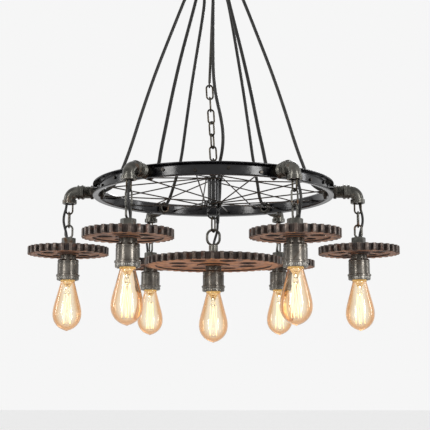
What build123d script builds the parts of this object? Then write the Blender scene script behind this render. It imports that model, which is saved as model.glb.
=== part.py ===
from build123d import *
import math
import os

# Gear chandelier: a spoked wheel hung flat under a ceiling canopy, with six pipe arms and seven lamps.
# Millimetres. The ceiling is the plane Z = 0, the hook is on the Z axis, and everything hangs below.

os.makedirs("parts", exist_ok=True)

# Clearances
FIT = 0.05          # radial play of a pin or spigot in its hole
EASE = 0.3          # radial play of a cable or a loose fixing in its hole
LINK_GAP = 0.2      # play between two links that hang in each other
SEAT_GAP = 0.1      # play between a spoke and the flange it crosses
EDGE = 1.0          # bevel on the edges of turned pieces
FINE_EDGE = 0.6     # bevel on the edges of grooves
CUT_PAST = 3.0      # how far a cutter runs past the face it cuts

# Heights
CANOPY_HEIGHT = 35.0
WHEEL_DROP = 545.0  # from the ceiling to the middle of the wheel

# Canopy, bracket and hook
CANOPY_RADIUS = 75.0
CANOPY_TAPER = 5.0
CANOPY_WALL = 1.5
CANOPY_CORNER = 6.0
BRACKET_LENGTH = 110.0
BRACKET_WIDTH = 24.0
BRACKET_THICKNESS = 2.5
BRACKET_SCREW_SPACING = 90.0
BRACKET_SCREW_RADIUS = 2.6
HOOK_SHANK_RADIUS = 5.0
HOOK_COLLAR_RADIUS = 12.0
HOOK_COLLAR_HEIGHT = 8.0
EYE_BEND_RADIUS = 7.0
EYE_WIRE = 4.0

# Hanging rod and main chain
ROD_DIAMETER = 6.0
ROD_EYE_BEND_RADIUS = 5.0
ROD_FOOT_X = -9.0
ROD_FOOT_DROP = 240.0     # height of the rod's lower eye above the wheel's middle
CHAIN_LINK_LENGTH = 36.4
CHAIN_LINK_WIDTH = 18.0
CHAIN_WIRE = 4.0
CHAIN_TURNS = [0.0, 90.0, 20.0, -45.0, 65.0, 0.0]

# Wheel rim
RIM_RADIUS = 265.0
RIM_HALF_HEIGHT = 14.0
RIM_CHANNEL_DEPTH = 15.2  # from the outer edge of the rim to the inner face of its well
RIM_WALL = 2.4
RIM_WELL_DROP = 4.2       # from the top of the rim to the well's inner edge
RIM_WELL_FLOOR_DROP = 5.2
RIM_EDGE_ROUND = 0.8
ARM_HOLE_DEPTH = 3.3      # how far a pipe's hole runs past the well

# Upper half of the rim's rolled side: how far inside the outer edge, and how far below the top
RIM_SIDE_SECTION = [
    (12.2, 1.2),
    (6.5, 0.7),
    (3.2, 0.0),
    (0.9, 0.5),
    (0.0, 2.2),
    (2.0, 3.2),
    (6.8, 2.9),
    (10.6, 3.1),
]

# Hub and spokes
HUB_TOP = 31.0
HUB_BOTTOM = -25.0
HUB_BARREL_RADIUS = 12.5
HUB_FLANGE_RADIUS = 21.0
HUB_FLANGE_THICKNESS = 3.2
HUB_FLANGE_ROOT_RADIUS = 15.2
HUB_BORE_RADIUS = 9.0
AXLE_RADIUS = 5.0
HUB_NUT_ACROSS_FLATS = 17.0
HUB_NUT_HEIGHT = 3.0
BEARING_HEIGHT = 6.0
HUB_EYE_LENGTH = 32.0
HUB_EYE_WIDTH = 29.0
HUB_EYE_WIRE = 4.5
SPOKE_COUNT = 24
SPOKE_CROSSINGS = 2
SPOKE_PHASE = 7.5
SPOKE_HOLE_CIRCLE = 18.0
SPOKE_WIRE = 2.8
SPOKE_HEAD_RADIUS = 2.5
SPOKE_HEAD_HEIGHT = 1.2
SPOKE_BEND_LENGTH = 2.0   # straight end of the bent head, where the spoke's run starts
SPOKE_RIM_OFFSET = 3.0
SPOKE_DIP = 1.0           # extra height of an outer spoke, so that it clears the flange's edge
NIPPLE_RADIUS = 2.4
NIPPLE_LENGTH = 14.0
NIPPLE_HEAD_RADIUS = 3.3
NIPPLE_HEAD_HEIGHT = 2.5
NIPPLE_STAND = 0.6        # a nipple's flat head meets the curved well at a slant

# Pipe arms
ARM_COUNT = 6
ARM_PIPE_RADIUS = 10.2
ARM_PIPE_BORE = 7.8
ARM_PIPE_STAND = 8.8       # how far the pipe stands inside the rim's well
ARM_SLEEVE_LENGTH = 15.0   # from the outer lock nut to the elbow
ARM_SLEEVE_RADIUS = 12.8
ARM_THREAD_RADIUS = 14.0
ARM_THREAD_PITCH = 2.8
ARM_THREAD_COUNT = 5
ARM_NUT_ACROSS_FLATS = 27.0
ARM_NUT_THICKNESS = 6.0
ELBOW_COLLAR_LENGTH = 15.0
ELBOW_COLLAR_RADIUS = 16.0
ELBOW_GROOVE_RADIUS = 14.4
ELBOW_BODY_RADIUS = 13.2
ELBOW_BORE_RADIUS = 9.4
ELBOW_BEND_RADIUS = 16.8
ELBOW_MOUTH_STEP = 0.9
ELBOW_MOUTH_HEIGHT = 8.7
ELBOW_MOUTH_RADIUS = 15.8
ELBOW_MOUTH_BORE = 11.2
ELBOW_STEP = 1.5
ELBOW_PIPE_SEAT = 12.0
PIN_RADIUS = 2.5
PIN_RISE = 3.9             # height of the pin above the elbow's mouth
PIN_HEAD_STAND = 0.5

# Lamp chains and loops
LAMP_LINK_LENGTH = 34.6
LOWER_LINK_LENGTH = 37.6
LAMP_LINK_WIDTH = 18.0
LAMP_LINK_WIRE = 3.8
LOOP_WIRE = 4.5
LOOP_WIDTH = 20.0
CENTRE_LOOP_WIDTH = 33.0
CENTRE_LOOP_WIRE = 5.5
CENTRE_LINK_TURN = 62.0
CENTRE_NECK_RADIUS = 10.0
CENTRE_NECK_HEIGHT = 16.0
LOOP_SINK = 1.8
NUT_ACROSS_FLATS = 27.0
NUT_HEIGHT = 21.0
CENTRE_NUT_HEIGHT = 13.0
NUT_CORNER = 1.2

# Gears
GEAR_TOP_DROP = 123.0
CENTRE_GEAR_TOP_DROP = 148.0
GEAR_THICKNESS = 16.0
GEAR_RADIUS = 88.0
GEAR_TEETH = 32
GEAR_TOOTH_DEPTH = 8.0
GEAR_RECESS_RADIUS = 67.5
GEAR_BOSS_RADIUS = 24.0
GEAR_HOLE_COUNT = 5
GEAR_HOLE_RADIUS = 15.0
GEAR_HOLE_CIRCLE = 44.5
CENTRE_GEAR_RADIUS = 149.0
CENTRE_GEAR_TEETH = 48
CENTRE_GEAR_RECESS_RADIUS = 127.0
CENTRE_GEAR_BOSS_RADIUS = 36.0
CENTRE_GEAR_HOLE_COUNT = 8
CENTRE_GEAR_HOLE_RADIUS = 19.0
CENTRE_GEAR_HOLE_CIRCLE = 82.0
GEAR_RECESS_DEPTH = 3.0
TOOTH_TIP_SHARE = 0.38
TOOTH_ROOT_SHARE = 0.56
GEAR_TURNS = [262.0, 250.0, 278.0, 271.0, 255.0, 267.0, 22.5]

# Lamp holders
SPIGOT_RADIUS = 8.0
SPIGOT_RISE = 26.0
CENTRE_SPIGOT_RISE = 24.0
HOLDER_COLLAR_RADIUS = 17.5
HOLDER_COLLAR_HEIGHT = 10.0
HOLDER_BODY_RADIUS = 23.0
HOLDER_BODY_HEIGHT = 33.0
HOLDER_RIDGE_RADIUS = 25.5
HOLDER_RIDGE_HEIGHT = 5.0
HOLDER_RING_RADIUS = 23.7
HOLDER_RING_HEIGHT = 8.0
HOLDER_SHOULDER = 4.0
HOLDER_GROOVE_DEPTH = 0.9
HOLDER_GROOVE_WIDTH = 1.0
HOLDER_GROOVE_DROP = 3.0
HOLDER_MOUTH_RADIUS = 19.5
HOLDER_MOUTH_DEPTH = 9.0

# Bulbs
CAP_RADIUS = 13.2
CAP_LENGTH = 22.0
CAP_SKIRT_RADIUS = 15.5
CAP_SKIRT_LENGTH = 6.0
CAP_SHOULDER_DROP = 5.0
CAP_CONE_HEIGHT = 3.0
CAP_CONTACT_RADIUS = 5.0
CAP_CONTACT_HEIGHT = 2.0
GLASS_WALL = 1.0
GLASS_NECK_RADIUS = 14.6
STEM_RADIUS = 5.5
STEM_LENGTH = 38.0
GLASS_OUTLINE = [
    (17.0, 5.0),
    (18.6, 18.0),
    (23.4, 36.0),
    (29.0, 54.0),
    (32.0, 72.0),
    (29.6, 87.0),
    (21.5, 99.5),
    (9.5, 107.5),
]
GLASS_TIP_DROP = 110.5

# Cables
CORD_DIAMETER = 7.4
DROP_CORD_DIAMETER = 5.5
CORD_BEND_SHARE = 0.45
GRIP_BODY_RADIUS = 7.5
GRIP_NOSE_RADIUS = 5.4
GRIP_HEIGHT = 14.0
GRIP_FLANGE_HEIGHT = 3.0
GRIP_SHANK_RADIUS = 5.4
GRIP_NUT_RADIUS = 7.5
GRIP_NUT_HEIGHT = 3.0
GRIP_CIRCLE = 50.0
CENTRE_GRIP_Y = -24.0
ENTRY_DEPTH = 7.0

# Route of each arm's supply cable: distance from the axis and height over the wheel's middle
ARM_CORD_ROUTE = [
    (GRIP_CIRCLE, 524.0),
    (GRIP_CIRCLE, 487.0),
    (57.0, 468.0),
    (71.0, 431.0),
    (97.0, 362.0),
    (130.0, 275.0),
    (160.0, 184.0),
    (184.0, 102.0),
    (201.6, 52.7),
    (213.8, 23.1),
    (229.5, 7.7),
    (250.0, -0.4),
    (270.0, 0.0),
]

# Route of the centre supply cable: across, towards the back, and height over the wheel's middle
CENTRE_CORD_ROUTE = [
    (0.0, CENTRE_GRIP_Y, 524.0),
    (0.0, CENTRE_GRIP_Y, 487.0),
    (-0.3, -18.5, 468.0),
    (-0.6, -11.5, 432.0),
    (-1.0, -9.5, 375.0),
    (-1.0, -9.0, 318.0),
    (0.0, -8.5, 262.0),
    (6.0, -7.5, 215.0),
    (15.5, -4.5, 176.0),
    (22.0, 0.0, 136.0),
    (20.5, 8.0, 98.0),
    (12.1, 19.7, 63.0),
    (14.7, 21.1, 34.0),
    (14.0, 25.4, 2.0),
    (11.3, 24.1, -29.0),
    (9.8, 10.0, -51.0),
    (9.3, 7.3, -68.0),
]

# Route of a drop cable beside its lamp chain: outward, sideways and height over the wheel's middle
DROP_CORD_ROUTE = [
    (5.6, 5.1, -17.2),
    (6.2, 5.5, -33.0),
    (10.5, 6.4, -50.5),
    (11.5, 7.0, -66.0),
    (7.5, 7.2, -82.0),
    (3.0, 7.2, -97.0),
    (3.0, 7.2, -108.5),
]
CENTRE_DROP_ROUTE = [
    (9.29, 7.25, -68.3),
    (9.1, 6.0, -80.0),
    (7.2, 6.0, -92.0),
    (0.0, 6.0, -114.0),
    (0.0, 6.0, -126.0),
]

canopy_bottom = -CANOPY_HEIGHT
wheel_z = -WHEEL_DROP
well_radius = RIM_RADIUS - RIM_CHANNEL_DEPTH
pipe_inner_end = well_radius - ARM_PIPE_STAND
sleeve_start = RIM_RADIUS + ARM_NUT_THICKNESS + SEAT_GAP
elbow_start = RIM_RADIUS + ARM_NUT_THICKNESS + ARM_SLEEVE_LENGTH
bend_start = elbow_start + ELBOW_COLLAR_LENGTH
arm_reach = bend_start + ELBOW_BEND_RADIUS
mouth_top = -ELBOW_BEND_RADIUS - ELBOW_MOUTH_STEP
mouth_bottom = mouth_top - ELBOW_MOUTH_HEIGHT
pin_z = mouth_bottom + PIN_RISE


def turned(points):
    """A solid turned about the Z axis from its half section, given as radius and height."""
    outline = Polyline(*[(radius, 0, height) for radius, height in points], close=True)
    return revolve(make_face(outline), Axis.Z)


def rod(start, end, radius):
    """A round bar between two points."""
    run = Vector(*end) - Vector(*start)
    plane = Plane(origin=Vector(*start), z_dir=run)
    return plane * Cylinder(radius, run.length, align=(Align.CENTER, Align.CENTER, Align.MIN))


def hexagon(across_flats, height):
    """A hexagonal block standing on Z = 0."""
    return extrude(RegularPolygon(across_flats / 2, 6, major_radius=False), height)


def closed_link(length, width, wire):
    """A closed link of round wire, standing in the XZ plane and centred on the origin."""
    bend = (width - wire) / 2
    half_run = (length - width) / 2
    foot = Pos(bend, 0, half_run) * Circle(wire / 2)
    upper = revolve(foot, Axis((0, 0, half_run), (0, -1, 0)), 180)
    lower = mirror(upper, Plane.XY)
    legs = [rod((x, 0, -half_run), (x, 0, half_run), wire / 2) for x in (-bend, bend)]
    return upper + legs[0] + legs[1] + lower


def polar(radius, degrees, height=0.0):
    """A point given by its distance from the Z axis, its direction and its height."""
    turn = math.radians(degrees)
    return (radius * math.cos(turn), radius * math.sin(turn), height)


def cable(points, diameter, name):
    """A cable along straight runs joined by tangent arcs, each as large as its two runs allow."""
    knots = [Vector(*point) for point in points]
    radii = []
    for before, corner, after in zip(knots, knots[1:], knots[2:]):
        shorter = min((corner - before).length, (after - corner).length)
        half_turn = math.radians((corner - before).get_angle(after - corner)) / 2
        radii.append(CORD_BEND_SHARE * shorter / math.tan(half_turn))
    path = FilletPolyline(*knots, radius=radii)
    section = Plane(origin=path @ 0, z_dir=path % 0) * Circle(diameter / 2)
    tube = sweep(section, path)
    plain_volume = math.pi * diameter**2 / 4 * path.length
    print(name, "length", round(path.length, 1), "least radius", round(min(radii), 1),
          "volume share", round(tube.volume / plain_volume, 4))
    return tube


def write(name, *solids):
    """One file for one named piece, or for one group of like pieces."""
    export_step(solids[0] if len(solids) == 1 else Compound(children=list(solids)), f"parts/{name}.step")


# Ceiling bracket: a strip that two screws hold to the ceiling, tapped in the middle for the hook
bracket = Pos(0, 0, -BRACKET_THICKNESS / 2) * Box(BRACKET_LENGTH, BRACKET_WIDTH, BRACKET_THICKNESS)
bracket = fillet(bracket.edges().filter_by(Axis.Z), BRACKET_WIDTH / 4)
bracket -= Cylinder(HOOK_SHANK_RADIUS + FIT, 3 * BRACKET_THICKNESS)
for x in (-BRACKET_SCREW_SPACING / 2, BRACKET_SCREW_SPACING / 2):
    bracket -= Pos(x, 0, 0) * Cylinder(BRACKET_SCREW_RADIUS, 3 * BRACKET_THICKNESS)
write("ceiling_bracket", bracket)

# Canopy: a spun cup, open against the ceiling, with a hole for the hook and one for each cable grip
canopy_foot = CANOPY_RADIUS - CANOPY_TAPER
canopy = turned([(0, 0), (CANOPY_RADIUS, 0), (canopy_foot, canopy_bottom), (0, canopy_bottom)])
canopy = fillet(canopy.edges().sort_by(Axis.Z)[0], CANOPY_CORNER)
inner_bottom = canopy_bottom + CANOPY_WALL
hollow = turned([
    (0, 0),
    (CANOPY_RADIUS - CANOPY_WALL, 0),
    (canopy_foot - CANOPY_WALL, inner_bottom),
    (0, inner_bottom),
])
canopy -= fillet(hollow.edges().sort_by(Axis.Z)[0], CANOPY_CORNER - CANOPY_WALL)
canopy -= Pos(0, 0, canopy_bottom) * Cylinder(HOOK_SHANK_RADIUS + EASE, 4 * CANOPY_WALL)
arm_angles = [360 / ARM_COUNT * index for index in range(ARM_COUNT)]
grip_places = [polar(GRIP_CIRCLE, angle) for angle in arm_angles] + [(0, CENTRE_GRIP_Y, 0)]
for x, y, _ in grip_places:
    canopy -= Pos(x, y, canopy_bottom) * Cylinder(GRIP_SHANK_RADIUS + EASE, 4 * CANOPY_WALL)
write("ceiling_canopy", canopy)

# Hook: a shank through the canopy into the bracket, a collar that carries the canopy, and a closed eye
hook_collar_bottom = canopy_bottom - HOOK_COLLAR_HEIGHT
hook = rod((0, 0, hook_collar_bottom), (0, 0, -SEAT_GAP), HOOK_SHANK_RADIUS)
hook += rod((0, 0, hook_collar_bottom), (0, 0, canopy_bottom), HOOK_COLLAR_RADIUS)
hook_eye_z = hook_collar_bottom - EYE_BEND_RADIUS
hook += Pos(0, 0, hook_eye_z) * Rot(0, 90, 0) * Torus(EYE_BEND_RADIUS, EYE_WIRE / 2)
write("canopy_hook", hook)
hook_pivot_z = hook_eye_z - EYE_BEND_RADIUS

# Cable grips: a shank through the canopy, a nut inside it and a tapered nose below
grip_bore = CORD_DIAMETER / 2 + EASE
grips = []
for x, y, _ in grip_places:
    grip = turned([
        (grip_bore, inner_bottom + GRIP_NUT_HEIGHT),
        (GRIP_NUT_RADIUS, inner_bottom + GRIP_NUT_HEIGHT),
        (GRIP_NUT_RADIUS, inner_bottom),
        (GRIP_SHANK_RADIUS, inner_bottom),
        (GRIP_SHANK_RADIUS, canopy_bottom),
        (GRIP_BODY_RADIUS, canopy_bottom),
        (GRIP_BODY_RADIUS, canopy_bottom - GRIP_FLANGE_HEIGHT),
        (GRIP_NOSE_RADIUS, canopy_bottom - GRIP_HEIGHT),
        (grip_bore, canopy_bottom - GRIP_HEIGHT),
    ])
    grips.append(Pos(x, y, 0) * grip)
write("cord_grips", *grips)

# Hanging rod: an eye in the hook, a straight bar pushed a little aside by the centre cable, a lower eye
rod_foot_z = wheel_z + ROD_FOOT_DROP
wire_step = EYE_WIRE + LINK_GAP
rod_head = Vector(0, 0, hook_pivot_z + wire_step - EYE_BEND_RADIUS)
rod_foot = Vector(ROD_FOOT_X, 0, rod_foot_z + ROD_EYE_BEND_RADIUS)
rod_way = (rod_foot - rod_head).normalized()
bar_start = rod_head + rod_way * EYE_BEND_RADIUS
bar_end = rod_foot - rod_way * ROD_EYE_BEND_RADIUS
hanging_rod = rod(tuple(bar_start), tuple(bar_end), ROD_DIAMETER / 2)
hanging_rod += Pos(*rod_head) * Rot(90, 0, 0) * Torus(EYE_BEND_RADIUS, EYE_WIRE / 2)
hanging_rod += Pos(*rod_foot) * Rot(0, 90, 0) * Torus(ROD_EYE_BEND_RADIUS, EYE_WIRE / 2)
write("hanging_rod", hanging_rod)

# Main chain: closed links in each other, from the rod's lower eye to the eye on the hub's axle
link_step = CHAIN_LINK_LENGTH - 2 * CHAIN_WIRE - LINK_GAP
link_reach = (CHAIN_LINK_LENGTH - CHAIN_WIRE) / 2
eye_step = (EYE_WIRE + CHAIN_WIRE) / 2 + LINK_GAP
chain_run = link_step * (len(CHAIN_TURNS) - 1) + 2 * link_reach - 2 * eye_step
chain_slope = math.asin(-ROD_FOOT_X / chain_run)
chain_way = Vector(math.sin(chain_slope), 0, -math.cos(chain_slope))
chain_start = Vector(ROD_FOOT_X, 0, rod_foot_z)
links = []
for index, turn in enumerate(CHAIN_TURNS):
    centre = chain_start + chain_way * (link_reach - eye_step + link_step * index)
    lean = Rot(0, -math.degrees(chain_slope), 0)
    link = closed_link(CHAIN_LINK_LENGTH, CHAIN_LINK_WIDTH, CHAIN_WIRE)
    links.append(Pos(*centre) * lean * Rot(0, 0, turn) * link)
write("suspension_chain", *links)
hub_eye_z = chain_start.Z + chain_way.Z * chain_run

# Hub axle: a bar with a round eye above for the chain and an oval eye below for the centre lamp
upper_eye_z = hub_eye_z - EYE_BEND_RADIUS
lower_nut_z = wheel_z + HUB_BOTTOM - HUB_FLANGE_THICKNESS / 2 - HUB_NUT_HEIGHT
lower_eye_z = lower_nut_z - HUB_EYE_LENGTH / 2
axle = rod((0, 0, lower_nut_z - HUB_EYE_WIRE / 2), (0, 0, upper_eye_z - EYE_BEND_RADIUS), AXLE_RADIUS)
axle += Pos(0, 0, upper_eye_z) * Rot(0, 90, 0) * Torus(EYE_BEND_RADIUS, EYE_WIRE / 2)
axle += Pos(0, 0, lower_eye_z) * closed_link(HUB_EYE_LENGTH, HUB_EYE_WIDTH, HUB_EYE_WIRE)
write("hub_axle", axle)
centre_pivot_z = lower_eye_z - (HUB_EYE_LENGTH - HUB_EYE_WIRE) / 2

# Hub shell: a barrel with two drilled flanges, bored for the bearings
half_flange = HUB_FLANGE_THICKNESS / 2
top_inside = HUB_TOP - half_flange
bottom_inside = HUB_BOTTOM + half_flange
shell = turned([
    (HUB_BORE_RADIUS, HUB_BOTTOM - half_flange),
    (HUB_FLANGE_RADIUS, HUB_BOTTOM - half_flange),
    (HUB_FLANGE_RADIUS, bottom_inside),
    (HUB_FLANGE_ROOT_RADIUS, bottom_inside),
    (HUB_BARREL_RADIUS, bottom_inside + half_flange),
    (HUB_BARREL_RADIUS, top_inside - half_flange),
    (HUB_FLANGE_ROOT_RADIUS, top_inside),
    (HUB_FLANGE_RADIUS, top_inside),
    (HUB_FLANGE_RADIUS, HUB_TOP + half_flange),
    (HUB_BORE_RADIUS, HUB_TOP + half_flange),
])

# Spokes: half from each flange, alternately from its outer and its inner face, two crossings each.
# A spoke is drawn as its bent head and its straight run, end to end, so that each is a simple shape.
per_flange = SPOKE_COUNT // 2
sweep_angle = SPOKE_CROSSINGS * 360 / per_flange
spokes = []
nipples = []
rim_cutters = []
for side, flange_z, offset in ((1, HUB_TOP, 0.0), (-1, HUB_BOTTOM, 0.5)):
    for index in range(per_flange):
        angle = SPOKE_PHASE + 360 * (index + offset) / per_flange
        leading = 1 if index % 2 == 0 else -1
        face = leading * side
        hole_x, hole_y, _ = polar(SPOKE_HOLE_CIRCLE, angle)
        shell -= Pos(hole_x, hole_y, flange_z) * Cylinder(SPOKE_WIRE / 2 + EASE, 3 * HUB_FLANGE_THICKNESS)
        stand = half_flange + SPOKE_WIRE / 2 + (SPOKE_DIP if leading > 0 else SEAT_GAP)
        elbow_point = Vector(hole_x, hole_y, flange_z + face * stand)
        head_near = Vector(hole_x, hole_y, flange_z - face * (half_flange + SEAT_GAP))
        head_far = head_near - Vector(0, 0, face * SPOKE_HEAD_HEIGHT)
        rim_point = Vector(*polar(well_radius, angle + leading * sweep_angle, side * SPOKE_RIM_OFFSET))
        way = (rim_point - elbow_point).normalized()
        nipple_start = rim_point - way * (NIPPLE_LENGTH - RIM_WALL)
        nipple_end = rim_point + way * (RIM_WALL + NIPPLE_STAND)
        wire_end = nipple_start + way * (NIPPLE_LENGTH / 2)
        run_start = elbow_point + way * SPOKE_BEND_LENGTH
        head = rod(tuple(elbow_point), tuple(run_start), SPOKE_WIRE / 2)
        head += Pos(*elbow_point) * Sphere(SPOKE_WIRE / 2)
        head += rod(tuple(elbow_point), tuple(head_far), SPOKE_WIRE / 2)
        head += rod(tuple(head_near), tuple(head_far), SPOKE_HEAD_RADIUS)
        run = rod(tuple(run_start), tuple(wire_end), SPOKE_WIRE / 2)
        spokes += [Pos(0, 0, wheel_z) * head, Pos(0, 0, wheel_z) * run]
        nipple = rod(tuple(nipple_start), tuple(nipple_end), NIPPLE_RADIUS)
        nipple += rod(tuple(nipple_end), tuple(nipple_end + way * NIPPLE_HEAD_HEIGHT), NIPPLE_HEAD_RADIUS)
        nipple -= rod(tuple(nipple_start), tuple(wire_end), SPOKE_WIRE / 2 + FIT)
        nipples.append(Pos(0, 0, wheel_z) * nipple)
        cutter_start = tuple(nipple_start)
        cutter_end = tuple(nipple_end + way * NIPPLE_HEAD_HEIGHT)
        rim_cutters.append(rod(cutter_start, cutter_end, NIPPLE_RADIUS + SEAT_GAP))
write("hub_shell", Pos(0, 0, wheel_z) * shell)
write("spokes", *spokes)
write("spoke_nipples", *nipples)

# Hub bearings and nuts, on the axle
bearings = []
hub_nuts = []
for side, flange_z in ((1, HUB_TOP), (-1, HUB_BOTTOM)):
    outer_face = flange_z + side * half_flange
    middle = wheel_z + outer_face - side * BEARING_HEIGHT / 2
    ring = Cylinder(HUB_BORE_RADIUS - FIT, BEARING_HEIGHT) - Cylinder(AXLE_RADIUS + FIT, BEARING_HEIGHT)
    bearings.append(Pos(0, 0, middle) * ring)
    nut = hexagon(HUB_NUT_ACROSS_FLATS, HUB_NUT_HEIGHT) - Cylinder(AXLE_RADIUS + FIT, 3 * HUB_NUT_HEIGHT)
    nut_foot = outer_face if side > 0 else outer_face - HUB_NUT_HEIGHT
    hub_nuts.append(Pos(0, 0, wheel_z + nut_foot) * nut)
write("hub_bearings", *bearings)
write("hub_nuts", *hub_nuts)

# Wheel rim: a channel open outwards with rolled lips, drilled for the spoke nipples and the pipes
well_out = well_radius + RIM_WALL
side_section = [(RIM_RADIUS - inset, RIM_HALF_HEIGHT - drop) for inset, drop in RIM_SIDE_SECTION]
upper_half = [(well_radius, RIM_HALF_HEIGHT - RIM_WELL_DROP)] + side_section
upper_half.append((well_out, RIM_HALF_HEIGHT - RIM_WELL_FLOOR_DROP))
lower_half = [(radius, -height) for radius, height in reversed(upper_half)]
section = make_face(Polyline(*[(radius, 0, height) for radius, height in upper_half + lower_half], close=True))
section = fillet(section.vertices(), RIM_EDGE_ROUND)
rim = revolve(section, Axis.Z)
for cutter in rim_cutters:
    rim -= cutter
for angle in arm_angles:
    hole_end = polar(well_out + ARM_HOLE_DEPTH, angle)
    rim -= rod(polar(pipe_inner_end, angle), hole_end, ARM_PIPE_RADIUS + EASE)
write("wheel_rim", Pos(0, 0, wheel_z) * rim)

# Pipe arm pieces, drawn along +X at the wheel's middle height and then turned to each arm.
# A pipe has a thick ribbed sleeve between its outer lock nut and its elbow.
on_x = Rot(0, 90, 0)
pipe_end = elbow_start + ELBOW_PIPE_SEAT
sleeve_end = elbow_start - SEAT_GAP
thread_start = sleeve_end - ARM_THREAD_PITCH * ARM_THREAD_COUNT
pipe_section = [
    (ARM_PIPE_BORE, pipe_inner_end),
    (ARM_PIPE_RADIUS, pipe_inner_end),
    (ARM_PIPE_RADIUS, sleeve_start),
    (ARM_SLEEVE_RADIUS, sleeve_start),
]
for index in range(ARM_THREAD_COUNT):
    root = thread_start + ARM_THREAD_PITCH * index
    pipe_section += [(ARM_SLEEVE_RADIUS, root), (ARM_THREAD_RADIUS, root + ARM_THREAD_PITCH / 2)]
pipe_section += [
    (ARM_SLEEVE_RADIUS, sleeve_end),
    (ARM_PIPE_RADIUS, sleeve_end),
    (ARM_PIPE_RADIUS, pipe_end),
    (ARM_PIPE_BORE, pipe_end),
]
pipe = on_x * turned(pipe_section)
nut_blank = hexagon(ARM_NUT_ACROSS_FLATS, ARM_NUT_THICKNESS)
nut_blank -= Cylinder(ARM_PIPE_RADIUS + FIT, 3 * ARM_NUT_THICKNESS)
inner_seat = math.sqrt(well_radius**2 - ARM_NUT_ACROSS_FLATS**2 / 3)
nut_places = (inner_seat - ARM_NUT_THICKNESS, RIM_RADIUS)
lock_nuts = [Pos(x, 0, 0) * on_x * nut_blank for x in nut_places]

# Pipe elbow: a grooved collar on the pipe, a quarter bend and a collar round the mouth
third = ELBOW_COLLAR_LENGTH / 3
collar = on_x * turned([
    (0, elbow_start),
    (ELBOW_COLLAR_RADIUS - EDGE, elbow_start),
    (ELBOW_COLLAR_RADIUS, elbow_start + EDGE),
    (ELBOW_COLLAR_RADIUS, elbow_start + third),
    (ELBOW_GROOVE_RADIUS, elbow_start + third + FINE_EDGE),
    (ELBOW_GROOVE_RADIUS, elbow_start + 2 * third - FINE_EDGE),
    (ELBOW_COLLAR_RADIUS, elbow_start + 2 * third),
    (ELBOW_COLLAR_RADIUS, bend_start - ELBOW_STEP),
    (ELBOW_BODY_RADIUS, bend_start),
    (0, bend_start),
])
bend_axis = Axis((bend_start, 0, -ELBOW_BEND_RADIUS), (0, 1, 0))
bend_plane = Plane(origin=(bend_start, 0, 0), z_dir=(1, 0, 0))
mouth = Pos(arm_reach, 0, 0) * turned([
    (0, -ELBOW_BEND_RADIUS),
    (ELBOW_BODY_RADIUS, -ELBOW_BEND_RADIUS),
    (ELBOW_MOUTH_RADIUS, mouth_top),
    (ELBOW_MOUTH_RADIUS, mouth_bottom + EDGE),
    (ELBOW_MOUTH_RADIUS - EDGE, mouth_bottom),
    (0, mouth_bottom),
])
elbow = collar + revolve(bend_plane * Circle(ELBOW_BODY_RADIUS), bend_axis, 90) + mouth
elbow -= revolve(bend_plane * Circle(ELBOW_BORE_RADIUS), bend_axis, 90)
elbow -= rod((elbow_start - CUT_PAST, 0, 0), (pipe_end, 0, 0), ARM_PIPE_RADIUS + FIT)
elbow -= rod((elbow_start, 0, 0), (bend_start, 0, 0), ELBOW_BORE_RADIUS)
mouth_cut_end = mouth_bottom - CUT_PAST
elbow -= rod((arm_reach, 0, -ELBOW_BEND_RADIUS), (arm_reach, 0, mouth_cut_end), ELBOW_MOUTH_BORE)
pin_reach = ELBOW_MOUTH_RADIUS + PIN_HEAD_STAND
pin_ends = (arm_reach, -pin_reach, pin_z), (arm_reach, pin_reach, pin_z)
elbow -= rod(*pin_ends, PIN_RADIUS + FIT)
pin = rod(*pin_ends, PIN_RADIUS)

arm_places = [Pos(0, 0, wheel_z) * Rot(0, 0, angle) for angle in arm_angles]
write("arm_nipples", *[place * pipe for place in arm_places])
write("arm_nuts", *[place * nut for place in arm_places for nut in lock_nuts])
write("pipe_elbows", *[place * elbow for place in arm_places])
write("hanger_pins", *[place * pin for place in arm_places])


def gear(radius, teeth, recess, boss, hole_count, hole_radius, hole_circle):
    """A cast gear lying on Z = 0, with straight-sided teeth, a recessed web and round holes."""
    root = radius - GEAR_TOOTH_DEPTH
    pitch = 360 / teeth
    points = []
    for index in range(teeth):
        middle = pitch * index
        points.append(polar(root, middle - pitch * TOOTH_ROOT_SHARE / 2))
        points.append(polar(radius, middle - pitch * TOOTH_TIP_SHARE / 2))
        points.append(polar(radius, middle + pitch * TOOTH_TIP_SHARE / 2))
        points.append(polar(root, middle + pitch * TOOTH_ROOT_SHARE / 2))
    blank = extrude(make_face(Polyline(*points, close=True)), GEAR_THICKNESS)
    pocket = Cylinder(recess, GEAR_RECESS_DEPTH) - Cylinder(boss, GEAR_RECESS_DEPTH)
    for height in (GEAR_RECESS_DEPTH / 2, GEAR_THICKNESS - GEAR_RECESS_DEPTH / 2):
        blank -= Pos(0, 0, height) * pocket
    for index in range(hole_count):
        hole_x, hole_y, _ = polar(hole_circle, 360 / hole_count * index)
        blank -= Pos(hole_x, hole_y, 0) * Cylinder(hole_radius, 3 * GEAR_THICKNESS)
    return blank - Cylinder(SPIGOT_RADIUS + FIT, 3 * GEAR_THICKNESS)


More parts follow.
